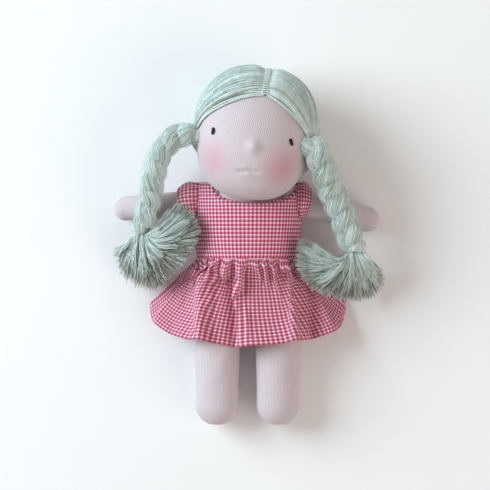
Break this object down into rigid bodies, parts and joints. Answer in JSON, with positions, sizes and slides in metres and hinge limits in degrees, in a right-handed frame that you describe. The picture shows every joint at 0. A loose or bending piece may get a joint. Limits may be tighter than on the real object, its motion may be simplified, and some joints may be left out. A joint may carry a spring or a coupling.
{
  "type": "waldorf doll",
  "caption": "Soft stuffed cloth doll with yarn plaits and a gathered gingham dress, whose head turns and whose arms and legs swing at their seams.",
  "frame": {"origin": "on the flat of the dress back that the doll lies on, at the middle of its chest", "axes": "+X to the doll's own left, +Y to its crown, +Z out of its chest"},
  "size_m": [0.2225, 0.2889, 0.0921],
  "materials": {
    "jersey_skin": "matte cotton jersey with fine vertical wales",
    "wool_stuffing": "carded wool",
    "hair_yarn": "soft fuzzy wool yarn",
    "gingham": "plain-woven red and white check cotton",
    "tying_thread": "waxed linen thread",
    "eye_thread": "stranded embroidery cotton",
    "mouth_thread": "skin-toned sewing thread",
    "snap_metal": "nickel-plated sewing snap"
  },
  "bodies": {
    "torso": {"torso_skin": "jersey_skin", "torso_stuffing": "wool_stuffing", "bodice_front": "gingham", "bodice_back_left": "gingham", "bodice_back_right": "gingham", "back_facing": "gingham", "upper_snap": "snap_metal", "lower_snap": "snap_metal", "left_sleeve": "gingham", "right_sleeve": "gingham", "skirt": "gingham", "left_plait_tie": "hair_yarn", "left_tassel": "hair_yarn", "right_plait_tie": "hair_yarn", "right_tassel": "hair_yarn"},
    "head": {"head_core": "wool_stuffing", "eye_line_thread": "tying_thread", "head_skin": "jersey_skin", "nose_ball": "wool_stuffing", "left_eye": "eye_thread", "right_eye": "eye_thread", "mouth_stitch": "mouth_thread", "left_hair": "hair_yarn", "right_hair": "hair_yarn", "parting_stitch": "hair_yarn", "neck_tie": "tying_thread", "left_plait_strand_1": "hair_yarn", "left_plait_strand_2": "hair_yarn", "left_plait_strand_3": "hair_yarn", "right_plait_strand_1": "hair_yarn", "right_plait_strand_2": "hair_yarn", "right_plait_strand_3": "hair_yarn"},
    "left_arm": {"left_arm_skin": "jersey_skin", "left_arm_stuffing": "wool_stuffing"},
    "left_leg": {"left_leg_skin": "jersey_skin", "left_leg_stuffing": "wool_stuffing"},
    "right_arm": {"right_arm_skin": "jersey_skin", "right_arm_stuffing": "wool_stuffing"},
    "right_leg": {"right_leg_skin": "jersey_skin", "right_leg_stuffing": "wool_stuffing"}
  },
  "joints": [
    {"name": "head_turn", "type": "hinge", "parent": "torso", "child": "head", "pos_m": [0.0064, 0.07806, 0.0374], "axis": [0.1478, 0.989, 0], "range_deg": [-20, 20], "deforming": ["left_plait_strand_1", "left_plait_strand_2", "left_plait_strand_3", "left_plait_tie", "left_tassel", "right_plait_strand_1", "right_plait_strand_2", "right_plait_strand_3", "right_plait_tie", "right_tassel"]},
    {"name": "left_shoulder", "type": "hinge", "parent": "torso", "child": "left_arm", "pos_m": [0.0471, 0.021, 0.0259], "axis": [0, 0, 1], "range_deg": [-20, 45], "deforming": ["left_sleeve", "left_plait_strand_1", "left_plait_strand_2", "left_plait_strand_3", "left_plait_tie", "left_tassel"]},
    {"name": "right_shoulder", "type": "hinge", "parent": "torso", "child": "right_arm", "pos_m": [-0.0471, 0.021, 0.0259], "axis": [0, 0, -1], "range_deg": [-20, 45], "deforming": ["right_sleeve", "right_plait_strand_1", "right_plait_strand_2", "right_plait_strand_3", "right_plait_tie", "right_tassel"]},
    {"name": "left_hip", "type": "hinge", "parent": "torso", "child": "left_leg", "pos_m": [0.0244, -0.0488, 0.0212], "axis": [-1, 0, 0], "range_deg": [-15, 80], "deforming": ["skirt", "left_plait_tie", "left_tassel"]},
    {"name": "right_hip", "type": "hinge", "parent": "torso", "child": "right_leg", "pos_m": [-0.0244, -0.0488, 0.0212], "axis": [-1, 0, 0], "range_deg": [-15, 80], "deforming": ["skirt", "right_plait_tie", "right_tassel"]}
  ]
}
